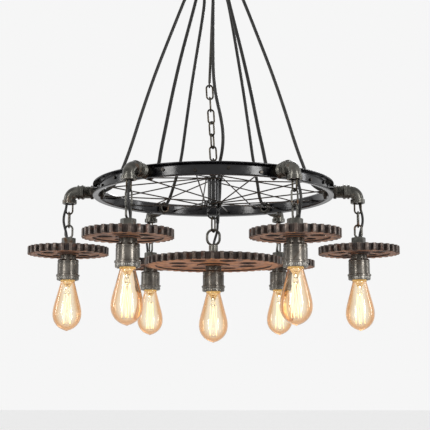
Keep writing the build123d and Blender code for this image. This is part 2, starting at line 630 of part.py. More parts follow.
def holder(spigot_rise):
    """A lamp holder hanging from Z = 0, with the spigot that goes up through the gear."""
    body_top = -HOLDER_COLLAR_HEIGHT
    body_bottom = body_top - HOLDER_BODY_HEIGHT
    ridge_bottom = body_bottom - HOLDER_RIDGE_HEIGHT
    bottom = ridge_bottom - HOLDER_RING_HEIGHT
    shoulder_z = body_top - HOLDER_SHOULDER
    groove_z = shoulder_z - HOLDER_GROOVE_DROP
    groove_end = groove_z - 2 * FINE_EDGE - HOLDER_GROOVE_WIDTH
    groove_radius = HOLDER_BODY_RADIUS - HOLDER_GROOVE_DEPTH
    seat = bottom + HOLDER_MOUTH_DEPTH
    socket_top = seat + CAP_LENGTH + CAP_CONTACT_HEIGHT
    return turned([
        (0, spigot_rise),
        (SPIGOT_RADIUS, spigot_rise),
        (SPIGOT_RADIUS, 0),
        (HOLDER_COLLAR_RADIUS - EDGE, 0),
        (HOLDER_COLLAR_RADIUS, -EDGE),
        (HOLDER_COLLAR_RADIUS, body_top),
        (HOLDER_BODY_RADIUS - EDGE, body_top - EDGE),
        (HOLDER_BODY_RADIUS, shoulder_z),
        (HOLDER_BODY_RADIUS, groove_z),
        (groove_radius, groove_z - FINE_EDGE),
        (groove_radius, groove_end + FINE_EDGE),
        (HOLDER_BODY_RADIUS, groove_end),
        (HOLDER_BODY_RADIUS, body_bottom),
        (HOLDER_RIDGE_RADIUS - EDGE, body_bottom),
        (HOLDER_RIDGE_RADIUS, body_bottom - EDGE),
        (HOLDER_RIDGE_RADIUS, ridge_bottom + EDGE),
        (HOLDER_RIDGE_RADIUS - EDGE, ridge_bottom),
        (HOLDER_RING_RADIUS, ridge_bottom),
        (HOLDER_RING_RADIUS, bottom + EDGE),
        (HOLDER_RING_RADIUS - EDGE, bottom),
        (HOLDER_MOUTH_RADIUS, bottom),
        (HOLDER_MOUTH_RADIUS, seat),
        (CAP_RADIUS + FIT, seat),
        (CAP_RADIUS + FIT, socket_top),
        (0, socket_top),
    ])


def bulb():
    """A pear-shaped bulb below Z = 0, the holder's mouth: screw cap with skirt, glass shell and stem."""
    skirt_top = HOLDER_MOUTH_DEPTH - EASE
    neck_z = skirt_top - CAP_SKIRT_LENGTH
    cap_top = skirt_top + CAP_LENGTH
    cap_shoulder = cap_top - CAP_SHOULDER_DROP
    cap = turned([
        (0, cap_top + CAP_CONTACT_HEIGHT),
        (CAP_CONTACT_RADIUS, cap_top + CAP_CONTACT_HEIGHT),
        (CAP_CONTACT_RADIUS, cap_shoulder + CAP_CONE_HEIGHT),
        (CAP_RADIUS, cap_shoulder),
        (CAP_RADIUS, skirt_top),
        (CAP_SKIRT_RADIUS, skirt_top),
        (CAP_SKIRT_RADIUS, neck_z),
        (0, neck_z),
    ])
    outer = [(GLASS_NECK_RADIUS, neck_z)] + [(radius, -drop) for radius, drop in GLASS_OUTLINE]
    inner = [(radius - GLASS_WALL, height) for radius, height in outer]
    outer_curve = Spline(*[(radius, 0, height) for radius, height in outer + [(0, -GLASS_TIP_DROP)]])
    inner_tip = GLASS_WALL - GLASS_TIP_DROP
    inner_curve = Spline(*[(radius, 0, height) for radius, height in inner + [(0, inner_tip)]])
    rim_line = Line(inner_curve @ 0, outer_curve @ 0)
    tip_line = Line(outer_curve @ 1, inner_curve @ 1)
    glass = revolve(make_face([rim_line, outer_curve, tip_line, inner_curve]), Axis.Z)
    stem = rod((0, 0, neck_z - STEM_LENGTH), (0, 0, neck_z), STEM_RADIUS)
    return [cap, glass, stem]


small_gear = gear(GEAR_RADIUS, GEAR_TEETH, GEAR_RECESS_RADIUS, GEAR_BOSS_RADIUS,
                  GEAR_HOLE_COUNT, GEAR_HOLE_RADIUS, GEAR_HOLE_CIRCLE)
large_gear = gear(CENTRE_GEAR_RADIUS, CENTRE_GEAR_TEETH, CENTRE_GEAR_RECESS_RADIUS, CENTRE_GEAR_BOSS_RADIUS,
                  CENTRE_GEAR_HOLE_COUNT, CENTRE_GEAR_HOLE_RADIUS, CENTRE_GEAR_HOLE_CIRCLE)
holder_height = HOLDER_COLLAR_HEIGHT + HOLDER_BODY_HEIGHT + HOLDER_RIDGE_HEIGHT + HOLDER_RING_HEIGHT
bulb_solids = bulb()

# Chain geometry of an outer lamp, as heights under the wheel's middle
pin_step = PIN_RADIUS + LAMP_LINK_WIRE / 2 + LINK_GAP
upper_link_z = pin_z + pin_step - (LAMP_LINK_LENGTH - LAMP_LINK_WIRE) / 2
swing_z = upper_link_z - (LAMP_LINK_LENGTH - LAMP_LINK_WIRE) / 2
lower_reach = (LOWER_LINK_LENGTH - LAMP_LINK_WIRE) / 2
lower_link_z = swing_z + LAMP_LINK_WIRE + LINK_GAP - lower_reach
loop_top = lower_link_z - lower_reach + (LOOP_WIRE + LAMP_LINK_WIRE) / 2 + LINK_GAP + LOOP_WIRE / 2
nut_top = NUT_HEIGHT - GEAR_TOP_DROP
loop_length = loop_top - nut_top + LOOP_SINK

# Chain geometry of the centre lamp
centre_link_z = centre_pivot_z + (HUB_EYE_WIRE + LAMP_LINK_WIRE) / 2 + LINK_GAP - lower_reach
centre_swing_z = centre_link_z - lower_reach
centre_loop_top = centre_swing_z + LAMP_LINK_WIRE / 2 + LINK_GAP + CENTRE_LOOP_WIRE
centre_gear_top = wheel_z - CENTRE_GEAR_TOP_DROP
centre_neck_top = centre_gear_top + CENTRE_NUT_HEIGHT + CENTRE_NECK_HEIGHT
centre_loop_length = centre_loop_top - centre_neck_top + LOOP_SINK


def loop_nut(length, width, wire, loop_top_z, nut_foot, nut_height, neck_height, spigot_rise, entry):
    """A wire loop on a hexagonal nut, with or without a neck, bored for the spigot and the drop cable."""
    corner = NUT_ACROSS_FLATS / math.sqrt(3)
    bevelled = turned([
        (0, 0),
        (corner - NUT_CORNER, 0),
        (corner, NUT_CORNER),
        (corner, nut_height - NUT_CORNER),
        (corner - NUT_CORNER, nut_height),
        (0, nut_height),
    ])
    body = Pos(0, 0, nut_foot) * (hexagon(NUT_ACROSS_FLATS, nut_height) & bevelled)
    top = nut_foot + nut_height + neck_height
    if neck_height:
        body += rod((0, 0, nut_foot), (0, 0, top), CENTRE_NECK_RADIUS)
    body += Pos(0, 0, loop_top_z - length / 2) * closed_link(length, width, wire)
    spigot_top = nut_foot + spigot_rise + SEAT_GAP
    body -= rod((0, 0, nut_foot - CUT_PAST), (0, 0, spigot_top), SPIGOT_RADIUS + FIT)
    entry_x, entry_y, _ = entry
    cable_hole = DROP_CORD_DIAMETER / 2 + EASE
    body -= rod((entry_x, entry_y, top - ENTRY_DEPTH), (entry_x, entry_y, top + CUT_PAST), cable_hole)
    return body


# Outer lamps: chain, drop cable, loop with nut, gear, holder and bulb under each elbow
loop = loop_nut(loop_length, LOOP_WIDTH, LOOP_WIRE, loop_top, -GEAR_TOP_DROP, NUT_HEIGHT, 0,
                SPIGOT_RISE - GEAR_THICKNESS, DROP_CORD_ROUTE[-1])
upper_link = closed_link(LAMP_LINK_LENGTH, LAMP_LINK_WIDTH, LAMP_LINK_WIRE)
lower_link = closed_link(LOWER_LINK_LENGTH, LAMP_LINK_WIDTH, LAMP_LINK_WIRE)
drop_cord = cable(DROP_CORD_ROUTE, DROP_CORD_DIAMETER, "drop cord")
gear_foot = -GEAR_TOP_DROP - GEAR_THICKNESS
lamp_holder = holder(SPIGOT_RISE)
for index, angle in enumerate(arm_angles):
    place = Pos(0, 0, wheel_z) * Rot(0, 0, angle) * Pos(arm_reach, 0, 0)
    number = index + 1
    gear_turn = Rot(0, 0, GEAR_TURNS[index] - angle)
    write(f"hanger_link_{number}", place * Pos(0, 0, upper_link_z) * upper_link)
    write(f"drop_cord_{number}", place * drop_cord)
    write(f"lamp_hanger_{number}", place * Pos(0, 0, lower_link_z) * Rot(0, 0, 90) * lower_link, place * loop)
    write(f"lamp_gear_{number}", place * Pos(0, 0, gear_foot) * gear_turn * small_gear)
    write(f"lamp_holder_{number}", place * Pos(0, 0, gear_foot) * lamp_holder)
    write(f"bulb_{number}", *[place * Pos(0, 0, gear_foot - holder_height) * solid for solid in bulb_solids])

# Centre lamp: the same pieces under the hub, with the large gear and a wider loop on a round neck
wheel_place = Pos(0, 0, wheel_z)
centre_loop = loop_nut(centre_loop_length, CENTRE_LOOP_WIDTH, CENTRE_LOOP_WIRE, centre_loop_top,
                       centre_gear_top, CENTRE_NUT_HEIGHT, CENTRE_NECK_HEIGHT,
                       CENTRE_SPIGOT_RISE - GEAR_THICKNESS, CENTRE_DROP_ROUTE[-1])
centre_foot = centre_gear_top - GEAR_THICKNESS
write("hanger_link_7", Pos(0, 0, centre_link_z) * Rot(0, 0, CENTRE_LINK_TURN) * lower_link)
write("drop_cord_7", wheel_place * cable(CENTRE_DROP_ROUTE, DROP_CORD_DIAMETER, "centre drop cord"))
write("lamp_hanger_7", centre_loop)
write("lamp_gear_7", Pos(0, 0, centre_foot) * Rot(0, 0, GEAR_TURNS[-1]) * large_gear)
write("lamp_holder_7", Pos(0, 0, centre_foot) * holder(CENTRE_SPIGOT_RISE))
write("bulb_7", *[Pos(0, 0, centre_foot - holder_height) * solid for solid in bulb_solids])

# Supply cables: from the canopy to the inner end of each pipe, and one down beside the hub
arm_cord = cable([(radius, 0, height) for radius, height in ARM_CORD_ROUTE], CORD_DIAMETER, "arm cord")
centre_cord = cable(CENTRE_CORD_ROUTE, CORD_DIAMETER, "centre cord")
write("supply_cords", *[place * arm_cord for place in arm_places], wheel_place * centre_cord)
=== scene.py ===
import math

import bpy
from mathutils import Matrix, Vector


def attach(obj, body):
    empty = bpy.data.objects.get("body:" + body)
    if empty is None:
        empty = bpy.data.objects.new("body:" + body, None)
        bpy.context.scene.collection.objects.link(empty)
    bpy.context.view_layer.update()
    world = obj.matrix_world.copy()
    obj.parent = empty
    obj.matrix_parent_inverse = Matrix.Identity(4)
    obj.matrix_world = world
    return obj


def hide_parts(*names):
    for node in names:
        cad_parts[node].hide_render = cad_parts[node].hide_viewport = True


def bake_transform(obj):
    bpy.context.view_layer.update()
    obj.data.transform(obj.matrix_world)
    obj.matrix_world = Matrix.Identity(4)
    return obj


# Gear chandelier, from the ceiling down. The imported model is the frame; this script gives it its finishes,
# its cables, its cast gears, the ribs of its lamp holders and its bulbs. Metres; the ceiling is Z = 0 and the
# photographed side faces -Y.
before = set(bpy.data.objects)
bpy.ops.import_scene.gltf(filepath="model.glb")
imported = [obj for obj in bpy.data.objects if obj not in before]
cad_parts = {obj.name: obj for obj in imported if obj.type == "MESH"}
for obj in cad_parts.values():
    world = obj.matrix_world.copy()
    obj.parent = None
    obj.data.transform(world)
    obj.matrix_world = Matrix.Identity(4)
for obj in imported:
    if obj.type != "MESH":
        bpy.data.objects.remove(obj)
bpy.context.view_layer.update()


# The photograph's view: the camera stands in front of the lamp and below its bulbs, and looks a little up.
# The place, tilt and lens were fitted to the wheel, the gears and the bulbs.
CAMERA_PLACE = (0.0256, -2.0593, -0.9227)
CAMERA_TILT = (math.radians(99.012), 0.0, math.radians(0.613))
CAMERA_LENS = 79.28

bpy.ops.object.camera_add(location=CAMERA_PLACE, rotation=CAMERA_TILT)
camera = bpy.context.active_object
camera.name = "camera"
camera.data.sensor_width = 36.0
camera.data.lens = CAMERA_LENS
bpy.context.scene.camera = camera
bpy.context.scene.view_settings.view_transform = "Standard"


# Ceiling fixing: a zinc-plated strip that two screws hold to the ceiling, and a spun steel canopy over it,
# painted satin black and held up by the collar of the forged hook.
def put(tree, kind, inputs=None, **settings):
    """Adds a shader node. An input is given a value, or a socket that is linked to it."""
    made = tree.nodes.new("ShaderNode" + kind)
    for key, value in settings.items():
        setattr(made, key, value)
    for key, value in (inputs or {}).items():
        if isinstance(value, bpy.types.NodeSocket):
            tree.links.new(value, made.inputs[key])
        else:
            made.inputs[key].default_value = value
    return made


def cloudy(tree, place, scale, detail=4.0, distortion=0.0):
    """A noise socket at a scale given in cells per metre."""
    settings = {"Vector": place, "Scale": scale, "Detail": detail, "Distortion": distortion}
    return put(tree, "TexNoise", settings).outputs[0]


def spread(tree, factor, from_low, from_high, low, high):
    """A number socket that carries one span of a factor over to another span."""
    settings = {0: factor, 1: from_low, 2: from_high, 3: low, 4: high}
    return put(tree, "MapRange", settings).outputs[0]


def between(tree, factor, first, second):
    """A colour socket between two colours or colour sockets, by a factor."""
    made = put(tree, "Mix", data_type="RGBA")
    tree.links.new(factor, made.inputs[0])
    for index, colour in ((6, first), (7, second)):
        if isinstance(colour, bpy.types.NodeSocket):
            tree.links.new(colour, made.inputs[index])
        else:
            made.inputs[index].default_value = (*colour, 1.0)
    return made.outputs[2]


def new_finish(name):
    """A material with its node tree and its surface shader."""
    material = bpy.data.materials.new(name)
    material.use_nodes = True
    return material, material.node_tree, material.node_tree.nodes["Principled BSDF"]


RUBBED_EDGE = 0.0009
STAIN_BORDER = 0.08


def metal_finish(name, dark, light, grain, rough, metallic,
                 gloss=0.5, relief=0.0001, stain=None, stain_from=0.56, edge=None):
    """Metal whose tone wanders between two colours, with stains of a third, rubbed edges and uneven gloss."""
    material, tree, shader = new_finish(name)
    place = put(tree, "TexCoord").outputs["Object"]
    wander = cloudy(tree, place, grain, 8.0, 0.4)
    colour = between(tree, spread(tree, wander, 0.36, 0.64, 0.0, 1.0), dark, light)
    if stain:
        patches = cloudy(tree, place, grain * 0.5, 10.0, 0.9)
        cover = spread(tree, patches, stain_from, stain_from + STAIN_BORDER, 0.0, 1.0)
        colour = between(tree, cover, colour, stain)
    if edge:
        rounded = put(tree, "Bevel", {"Radius": RUBBED_EDGE}, samples=4).outputs[0]
        plain = put(tree, "NewGeometry").outputs["Normal"]
        match = put(tree, "VectorMath", {0: rounded, 1: plain}, operation="DOT_PRODUCT").outputs["Value"]
        colour = between(tree, spread(tree, match, 0.985, 0.90, 0.0, 0.75), colour, edge)
    tree.links.new(colour, shader.inputs["Base Color"])
    uneven = cloudy(tree, place, grain * 2.5, 3.0)
    tree.links.new(spread(tree, uneven, 0.35, 0.65, *rough), shader.inputs["Roughness"])
    shader.inputs["Metallic"].default_value = metallic
    shader.inputs["Specular IOR Level"].default_value = gloss
    height = cloudy(tree, place, grain * 8.0, 5.0)
    bump = put(tree, "Bump", {"Height": height, "Distance": relief, "Strength": 0.8})
    tree.links.new(bump.outputs[0], shader.inputs["Normal"])
    return material


def finish(material, *node_names):
    """Gives CAD nodes their material."""
    for node_name in node_names:
        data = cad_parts[node_name].data
        data.materials.clear()
        data.materials.append(material)


zinc = metal_finish("zinc_plate", (0.42, 0.42, 0.43), (0.60, 0.60, 0.61), 120.0, (0.30, 0.45), 0.9,
                    relief=0.00003)
canopy_black = metal_finish("canopy_black", (0.010, 0.010, 0.010), (0.022, 0.021, 0.020), 40.0,
                            (0.34, 0.48), 0.0, relief=0.00004)
forged_steel = metal_finish("forged_steel", (0.020, 0.019, 0.017), (0.070, 0.065, 0.056), 90.0,
                            (0.26, 0.42), 0.8, relief=0.00005)
finish(zinc, "ceiling_bracket")
finish(canopy_black, "ceiling_canopy", "cord_grips")
finish(forged_steel, "canopy_hook")


# Supply cables: seven round black rubber-sheathed cables, gripped in the canopy. Six come down to the rim and
# go into the pipes, and the seventh passes beside the rod, the chain and the hub to the middle lamp.
WHEEL_MIDDLE = Vector((0.0, 0.0, -0.545))
ARM_ANGLES = [math.radians(60.0 * index) for index in range(6)]
CORD_DIAMETER = 0.0074
CORD_RINGS = 7
CORD_STEPS = 10
CORD_SMOOTH = math.radians(50.0)
MERGE_GAP = 0.00001
RUBBER_GLOSS = 0.28
RUBBER_RELIEF = 0.000012

# Distance from the axis and height over the wheel's middle
ARM_CORD_ROUTE = [
    (0.050, 0.524),
    (0.050, 0.487),
    (0.057, 0.468),
    (0.071, 0.431),
    (0.097, 0.362),
    (0.130, 0.275),
    (0.160, 0.184),
    (0.184, 0.102),
    (0.2016, 0.0527),
    (0.2138, 0.0231),
    (0.2295, 0.0077),
    (0.250, -0.0004),
    (0.270, 0.0),
]

# The photographed cables don't lie quite alike: how far each point of a cable is moved along +X, which is to
# the right in the picture
CABLE_LEAN = {
    1: [0.0, 0.0, 0.002, 0.003, 0.0025, 0.0015, 0.0005, 0.0, 0.0, -0.001, 0.0, 0.0, 0.0],
    2: [0.0, 0.0, 0.0035, 0.0045, 0.004, 0.003, 0.002, 0.0015, 0.003, 0.001, 0.0, 0.0, 0.0],
    3: [0.0, 0.0, 0.008, 0.010, 0.0105, 0.0112, 0.012, 0.0122, 0.005, 0.001, 0.0, 0.0, 0.0],
    4: [0.0, 0.0, -0.0005, -0.001, -0.001, -0.0005, 0.0, 0.0, 0.0, 0.0, 0.0, 0.0, 0.0],
    5: [0.0, 0.0, 0.0, 0.0, -0.001, -0.003, -0.0045, -0.0055, -0.0045, -0.001, 0.0, 0.0, 0.0],
    6: [0.0, 0.0, -0.0025, -0.0035, -0.0025, -0.001, 0.001, 0.0025, 0.003, 0.001, 0.0, 0.0, 0.0],
}

# Across, towards the back, and height over the wheel's middle
CENTRE_CORD_ROUTE = [
    (0.0, -0.024, 0.524),
    (0.0, -0.024, 0.487),
    (-0.0003, -0.0185, 0.468),
    (-0.0006, -0.0115, 0.432),
    (-0.001, -0.0095, 0.375),
    (-0.001, -0.009, 0.318),
    (0.0, -0.0085, 0.262),
    (0.006, -0.0075, 0.215),
    (0.0155, -0.0045, 0.176),
    (0.022, 0.0, 0.136),
    (0.0205, 0.008, 0.098),
    (0.0121, 0.0197, 0.063),
    (0.0147, 0.0211, 0.034),
    (0.014, 0.0254, 0.002),
    (0.0113, 0.0241, -0.029),
    (0.0098, 0.010, -0.051),
    (0.0093, 0.0073, -0.068),
]


def rubber_finish(name, dark, light, grain, rough):
    """Rubber sheath: near black, a little dusty, with a fine moulded grain."""
    material, tree, shader = new_finish(name)
    place = put(tree, "TexCoord").outputs["Object"]
    dust = cloudy(tree, place, grain, 6.0, 0.2)
    colour = between(tree, spread(tree, dust, 0.38, 0.66, 0.0, 1.0), dark, light)
    tree.links.new(colour, shader.inputs["Base Color"])
    uneven = cloudy(tree, place, grain * 2.0, 3.0)
    tree.links.new(spread(tree, uneven, 0.35, 0.65, *rough), shader.inputs["Roughness"])
    shader.inputs["Specular IOR Level"].default_value = RUBBER_GLOSS
    fine = cloudy(tree, place, grain * 6.0, 3.0)
    bump = put(tree, "Bump", {"Height": fine, "Distance": RUBBER_RELIEF, "Strength": 0.4})
    tree.links.new(bump.outputs[0], shader.inputs["Normal"])
    return material


def turned_route(route, angle, start):
    """A route given outward, sideways and up, turned to its arm and moved to its start."""
    outward = Vector((math.cos(angle), math.sin(angle), 0.0))
    sideways = Vector((-math.sin(angle), math.cos(angle), 0.0))
    up = Vector((0.0, 0.0, 1.0))
    return [tuple(start + outward * x + sideways * y + up * z) for x, y, z in route]


def cable(name, route, diameter, material):
    """A cable along the smooth line of its route, made a mesh."""
    data = bpy.data.curves.new(name, "CURVE")
    data.dimensions = "3D"
    data.resolution_u = CORD_STEPS
    spline = data.splines.new("NURBS")
    spline.points.add(len(route) - 1)
    for point, place in zip(spline.points, route):
        point.co = (*place, 1.0)
    spline.order_u = 3
    spline.use_endpoint_u = True
    made = bpy.data.objects.new(name, data)
    bpy.context.scene.collection.objects.link(made)
    bpy.context.view_layer.update()
    evaluated = made.evaluated_get(bpy.context.evaluated_depsgraph_get())
    line = [vertex.co.copy() for vertex in bpy.data.meshes.new_from_object(evaluated).vertices]
    data.bevel_depth = diameter / 2
    data.bevel_resolution = CORD_RINGS
    data.use_fill_caps = True
    bpy.ops.object.select_all(action="DESELECT")
    made.select_set(True)
    bpy.context.view_layer.objects.active = made
    bpy.ops.object.convert(target="MESH")
    made = bpy.context.active_object
    bpy.ops.object.mode_set(mode="EDIT")
    bpy.ops.mesh.select_all(action="SELECT")
    bpy.ops.mesh.remove_doubles(threshold=MERGE_GAP)
    bpy.ops.mesh.normals_make_consistent(inside=False)
    bpy.ops.object.mode_set(mode="OBJECT")
    bpy.ops.object.shade_smooth_by_angle(angle=CORD_SMOOTH)
    made.data.materials.clear()
    made.data.materials.append(material)
    return made


cord_rubber = rubber_finish("cord_rubber", (0.006, 0.006, 0.006), (0.015, 0.014, 0.012), 60.0, (0.30, 0.38))
supply_cables = []
for number, angle in enumerate(ARM_ANGLES, 1):
    arm_route = turned_route([(x, 0.0, z) for x, z in ARM_CORD_ROUTE], angle, WHEEL_MIDDLE)
    arm_route = [(x + lean, y, z) for (x, y, z), lean in zip(arm_route, CABLE_LEAN[number])]
    supply_cables.append(cable(f"supply_cable_{number}", arm_route, CORD_DIAMETER,
                               cord_rubber))
centre_route = turned_route(CENTRE_CORD_ROUTE, 0.0, WHEEL_MIDDLE)
supply_cables.append(cable("supply_cable_centre", centre_route, CORD_DIAMETER,
                           cord_rubber))
for made in supply_cables:
    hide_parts("supply_cords")
    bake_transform(made)


# Hanging rod and main chain: a straight forged bar with an eye at each end, then welded links of round wire,
# oiled and darkened, down to the eye of the hub's axle.
chain_metal = metal_finish("chain_metal", (0.014, 0.012, 0.009), (0.085, 0.074, 0.054), 110.0,
                           (0.20, 0.36), 0.9, relief=0.00006,
                           stain=(0.026, 0.018, 0.011), stain_from=0.55)
finish(forged_steel, "hanging_rod")
finish(chain_metal, "suspension_chain")


# Hub: a turned shell with two drilled flanges on a steel axle, enamelled black as the rim is, with plain
# bearings pressed into its ends and a thin nut outside each.
hub_black = metal_finish("hub_black", (0.004, 0.004, 0.0045), (0.012, 0.011, 0.010), 90.0, (0.10, 0.22), 0.0,
                         gloss=0.4, relief=0.00002)
finish(hub_black, "hub_axle", "hub_shell", "hub_nuts")
finish(zinc, "hub_bearings")


# Spokes: drawn steel wire, browned, with a bent and upset head in the hub's flange and a threaded nipple in
# the rim.
spoke_brown = metal_finish("spoke_brown", (0.007, 0.005, 0.003), (0.030, 0.020, 0.012), 120.0,
                           (0.30, 0.46), 0.45, gloss=0.3, relief=0.00003,
                           stain=(0.080, 0.052, 0.030), stain_from=0.60)
nipple_dark = metal_finish("nipple_dark", (0.010, 0.009, 0.008), (0.045, 0.038, 0.030), 150.0,
                           (0.24, 0.38), 0.8, relief=0.00003)
finish(spoke_brown, "spokes")
finish(nipple_dark, "spoke_nipples")


# Rim: a rolled steel channel that is open outwards, with a lip along each edge. It is stove-enamelled in
# gloss black, with a slightly wavy, polished surface.
rim_enamel = metal_finish("rim_enamel", (0.0040, 0.0040, 0.0050), (0.0090, 0.0088, 0.0105), 45.0,
                          (0.10, 0.20), 0.0, gloss=0.36, relief=0.00004)
finish(rim_enamel, "wheel_rim")


# Pipe arms: threaded malleable-iron pipe fittings, left as cast and oiled, so they are dark pewter grey with
# brown rust in places and bare metal along their edges. A steel pin through each mouth carries a lamp.
pipe_iron = metal_finish("pipe_iron", (0.045, 0.044, 0.039), (0.112, 0.108, 0.095), 50.0,
                         (0.24, 0.36), 0.88, relief=0.00010,
                         stain=(0.080, 0.044, 0.024), stain_from=0.60, edge=(0.30, 0.29, 0.255))
finish(pipe_iron, "arm_nipples", "pipe_elbows", "hanger_pins")
finish(nipple_dark, "arm_nuts")


# Lamp chains: under each arm two welded links and a forged loop on a hexagonal nut, which the spigot of the
# lamp holder screws into from below.
LAMP_NUMBERS = range(1, 8)
CENTRE_LAMP = 7
for number in LAMP_NUMBERS:
    finish(chain_metal, f"hanger_link_{number}")
    finish(pipe_iron, f"lamp_hanger_{number}")


# Drop cables: a thinner rubber cable beside each lamp's chain, out of the elbow's mouth and down into the
# hexagonal nut. The middle one goes on from its supply cable.
ARM_REACH = 0.3178
DROP_CORD_DIAMETER = 0.0055

# Outward, sideways and height over the wheel's middle
DROP_CORD_ROUTE = [
    (0.0054, 0.0050, -0.0172),
    (0.0053, 0.0050, -0.033),
    (0.0105, 0.0064, -0.0505),
    (0.0115, 0.007, -0.066),
    (0.0075, 0.0072, -0.082),
    (0.003, 0.0072, -0.097),
    (0.003, 0.0072, -0.1085),
]
CENTRE_DROP_ROUTE = [
    (0.00929, 0.00725, -0.0683),
    (0.0091, 0.006, -0.080),
    (0.0072, 0.006, -0.092),
    (0.0, 0.006, -0.114),
    (0.0, 0.006, -0.126),
]


def lamp_axis(number):
    """The point on the wheel's level that a lamp hangs under."""
    if number == CENTRE_LAMP:
        return WHEEL_MIDDLE
    angle = ARM_ANGLES[number - 1]
    return WHEEL_MIDDLE + Vector((math.cos(angle), math.sin(angle), 0.0)) * ARM_REACH


def below(number, drop):
    """The point of a lamp's axis that lies a drop below the wheel's level."""
    return tuple(lamp_axis(number) - Vector((0.0, 0.0, drop)))


for number in LAMP_NUMBERS:
    if number == CENTRE_LAMP:
        drop_route = turned_route(CENTRE_DROP_ROUTE, 0.0, lamp_axis(number))
    else:
        drop_route = turned_route(DROP_CORD_ROUTE, ARM_ANGLES[number - 1], lamp_axis(number))
    made = cable(f"drop_cable_{number}", drop_route, DROP_CORD_DIAMETER, cord_rubber)
    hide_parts(f"drop_cord_{number}")
    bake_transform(made)


# Gears: sand-cast iron wheels with a recessed web and round holes. Their flat faces are rusty; those of the
# large one are painted brighter, a painted light that stands in for the bulbs' glow on them. The gaps between
# the teeth and the walls of the holes and the web are painted near black as shade, and the teeth's tips and
# edges are rubbed.
GEAR_RADIUS = 0.088
CENTRE_GEAR_RADIUS = 0.149
TOOTH_DEPTH = 0.008
GEAR_EDGE = 0.0008
EDGE_SEGMENTS = 2
SHARP_FROM = math.radians(32.0)
FLAT_WITHIN = math.radians(1.0)
CAST_SMOOTH = math.radians(40.0)

# A gear's faces are told apart by their distance from its axis and by how nearly they face up or down
WEB_MARGIN = 0.001
TIP_BAND = 0.0015
WALL_BELOW = 0.2
FLAT_ABOVE = 0.92
FACE, GAP, TIP, EDGE = range(4)

# The large gear's rust is painted brighter: painted light standing in for the bulbs' glow on its faces.
face_rust_and_painted_light = metal_finish("face_rust_and_painted_light", (0.25, 0.088, 0.032), (0.54, 0.225, 0.092), 55.0,
                         (0.55, 0.80), 0.1, relief=0.00028,
                         stain=(0.105, 0.042, 0.022), stain_from=0.57)
face_brown = metal_finish("face_brown", (0.165, 0.066, 0.030), (0.340, 0.152, 0.075), 55.0,
                          (0.50, 0.75), 0.15, relief=0.00028,
                          stain=(0.075, 0.034, 0.022), stain_from=0.56)
# Painted shade: the gaps between the teeth and the walls of the holes and the web are painted near black.
tooth_gap_painted_shade = metal_finish("tooth_gap_painted_shade", (0.010, 0.006, 0.005), (0.048, 0.030, 0.023), 80.0,
                          (0.40, 0.62), 0.35, relief=0.0002,
                          stain=(0.090, 0.036, 0.020), stain_from=0.62)
tooth_tip = metal_finish("tooth_tip", (0.045, 0.033, 0.027), (0.145, 0.112, 0.094), 110.0,
                         (0.30, 0.48), 0.6, relief=0.00014,
                         stain=(0.065, 0.030, 0.020), stain_from=0.56)
tooth_edge = metal_finish("tooth_edge", (0.11, 0.085, 0.070), (0.26, 0.215, 0.180), 160.0,
                          (0.28, 0.42), 0.7, relief=0.00008,
                          stain=(0.12, 0.050, 0.028), stain_from=0.58)


def rounded_copy(node_name, name, width):
    """A copy of a CAD piece, merged, with its sharp edges rounded; it stands for the CAD piece."""
    made = bpy.data.objects.new(name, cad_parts[node_name].data.copy())
    made.data.name = name
    bpy.context.scene.collection.objects.link(made)
    bpy.ops.object.select_all(action="DESELECT")
    made.select_set(True)
    bpy.context.view_layer.objects.active = made
    bpy.ops.object.mode_set(mode="EDIT")
    bpy.ops.mesh.select_all(action="SELECT")
    bpy.ops.mesh.customdata_custom_splitnormals_clear()
    bpy.ops.mesh.remove_doubles(threshold=MERGE_GAP)
    bpy.ops.mesh.dissolve_limited(angle_limit=FLAT_WITHIN)
    bpy.ops.object.mode_set(mode="OBJECT")
    bevel = made.modifiers.new("rounding", "BEVEL")
    bevel.width = width
    bevel.segments = EDGE_SEGMENTS
    bevel.limit_method = "ANGLE"
    bevel.angle_limit = SHARP_FROM
    bpy.ops.object.modifier_apply(modifier=bevel.name)
    bpy.ops.object.shade_smooth_by_angle(angle=CAST_SMOOTH)
    made.data.materials.clear()
    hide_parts(node_name)
    return made


for number in LAMP_NUMBERS:
    made = rounded_copy(f"lamp_gear_{number}", f"cast_gear_{number}", GEAR_EDGE)
    flat_face = face_rust_and_painted_light if number == CENTRE_LAMP else face_brown
    for material in (flat_face, tooth_gap_painted_shade, tooth_tip, tooth_edge):
        made.data.materials.append(material)
    tip_radius = CENTRE_GEAR_RADIUS if number == CENTRE_LAMP else GEAR_RADIUS
    axis = lamp_axis(number)
    for face in made.data.polygons:
        reach = math.hypot(face.center.x - axis.x, face.center.y - axis.y)
        upright = abs(face.normal.z)
        # Upright walls inside the web and the gaps between teeth take the painted shade.
        if reach < tip_radius - TOOTH_DEPTH - WEB_MARGIN:
            face.material_index = GAP if upright < WALL_BELOW else FACE
        elif upright > FLAT_ABOVE:
            face.material_index = FACE
        elif upright > WALL_BELOW:
            face.material_index = EDGE
        else:
            face.material_index = TIP if reach > tip_radius - TIP_BAND else GAP
    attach(made, f"lamp_{number}")


# Lamp holders: turned and cast iron-grey bodies with a screwed ring round the mouth. The ring is ribbed for
# the fingers, with short upright ribs cut all round it.
RIB_COUNT = 44
RIB_RING_RADIUS = 0.0237
RIB_SIZE = (0.0009, 0.0014, 0.0050)
RIB_RISE = 0.0042
RIB_EDGE = 0.00025
MOUTH_DROP = 0.195
CENTRE_MOUTH_DROP = 0.220

